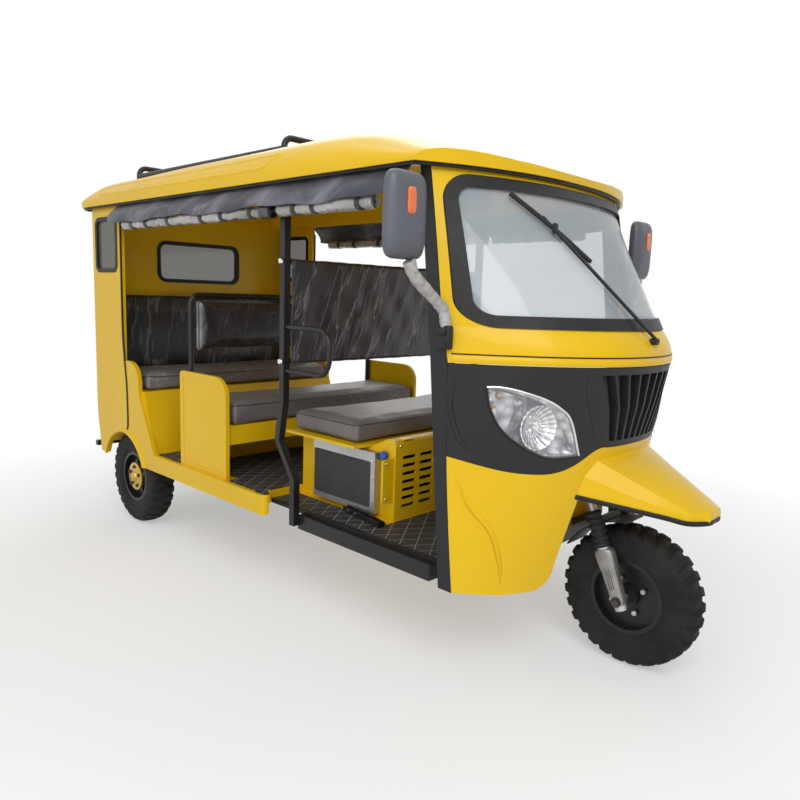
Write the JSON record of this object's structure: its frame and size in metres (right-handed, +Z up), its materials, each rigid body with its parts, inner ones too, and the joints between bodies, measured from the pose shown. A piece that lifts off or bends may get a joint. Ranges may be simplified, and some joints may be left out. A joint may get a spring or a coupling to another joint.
{
  "type": "auto rickshaw",
  "caption": "Long three-wheeled passenger rickshaw with one steered front wheel, an open-sided cabin, bench seats and a roof rack.",
  "frame": {"origin": "on the ground below the middle of the whole vehicle", "axes": "+X forwards, +Y to the vehicle's left, +Z up"},
  "size_m": [3.458, 1.765, 2.0006],
  "materials": {
    "body_yellow": "gloss",
    "metal_black": "satin",
    "steel_grey": "satin",
    "engine_iron": "rough",
    "core_aluminium": "satin",
    "tyre_black": "matt",
    "plastic_black": "matt",
    "seal_rubber": "matt",
    "mat_rubber": "matt",
    "clear_glass": "clear",
    "lamp_clear": "clear",
    "lamp_red": "gloss",
    "seat_cover": "satin",
    "curtain_cloth": "matt"
  },
  "bodies": {
    "vehicle_body": {"chassis_frame": "metal_black", "rear_axle": "metal_black", "front_cowl": "body_yellow", "headlamp_band": "plastic_black", "headlamps": "lamp_clear", "grille": "plastic_black", "front_apron": "body_yellow", "front_fender": "body_yellow", "front_posts": "metal_black", "floor_pan": "body_yellow", "floor_mats": "mat_rubber", "quarter_panel_left": "body_yellow", "quarter_panel_right": "body_yellow", "rear_panel": "body_yellow", "window_seals": "seal_rubber", "cabin_glass": "clear_glass", "roof_shell": "body_yellow", "roof_rack": "metal_black", "hoop_frames": "metal_black", "engine_cover": "body_yellow", "driver_cushion": "seat_cover", "engine_block": "engine_iron", "radiator": "core_aluminium", "middle_seat_base": "body_yellow", "middle_seat_cushion": "seat_cover", "middle_seat_back": "seat_cover", "rear_seat_base": "body_yellow", "rear_seat_cushion": "seat_cover", "rear_seat_back": "seat_cover", "driver_curtain": "curtain_cloth", "side_curtains": "curtain_cloth", "side_mirrors": "plastic_black", "wiper": "metal_black", "dashboard": "plastic_black", "tail_lamps": "lamp_red", "exhaust": "steel_grey"},
    "steering": {"front_fork": "steel_grey", "handlebar": "metal_black", "inner_mudguard": "plastic_black"},
    "front_wheel_set": {"front_tyre": "tyre_black", "front_wheel": "metal_black"},
    "rear_wheel_set_left": {"rear_tyre_left": "tyre_black", "rear_wheel_left": "metal_black"},
    "rear_wheel_set_right": {"rear_tyre_right": "tyre_black", "rear_wheel_right": "metal_black"}
  },
  "joints": [
    {"name": "steer", "type": "hinge", "parent": "vehicle_body", "child": "steering", "pos_m": [1.41958, 0, 0.24242], "axis": [-0.3907, 0, 0.9205], "range_deg": [-35, 35]},
    {"name": "front_wheel_spin", "type": "hinge", "parent": "steering", "child": "front_wheel_set", "pos_m": [1.461, 0, 0.26], "axis": [0, 1, 0], "continuous": true},
    {"name": "rear_wheel_spin_left", "type": "hinge", "parent": "vehicle_body", "child": "rear_wheel_set_left", "pos_m": [-1.195, 0.58, 0.26], "axis": [0, 1, 0], "continuous": true},
    {"name": "rear_wheel_spin_right", "type": "hinge", "parent": "vehicle_body", "child": "rear_wheel_set_right", "pos_m": [-1.195, -0.58, 0.26], "axis": [0, 1, 0], "continuous": true}
  ]
}
